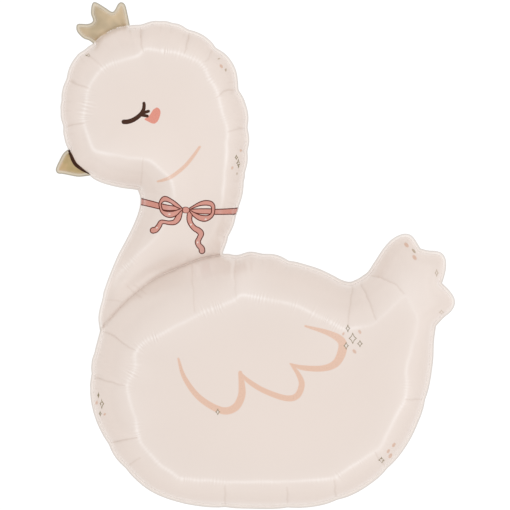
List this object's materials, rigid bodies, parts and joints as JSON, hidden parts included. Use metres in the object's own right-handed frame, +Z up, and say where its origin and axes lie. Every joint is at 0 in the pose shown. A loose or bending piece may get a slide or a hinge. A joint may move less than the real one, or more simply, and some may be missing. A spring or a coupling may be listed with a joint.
{
  "type": "foil swan balloon",
  "caption": "Inflated heat-sealed foil balloon in the shape of a sitting swan with a small crown, lying on its back.",
  "frame": {"origin": "middle of the bounding box's underside, where the balloon lies on the floor", "axes": "+Z up from the floor through the front of the balloon, +Y from the body towards the crown, +X towards the tail"},
  "size_m": [0.697, 0.8852, 0.2608],
  "materials": {
    "foil": "satin metallised film printed warm cream, with gold, pink and brown print"
  },
  "bodies": {
    "root": {"foil_swan_balloon": "foil"}
  },
  "joints": []
}
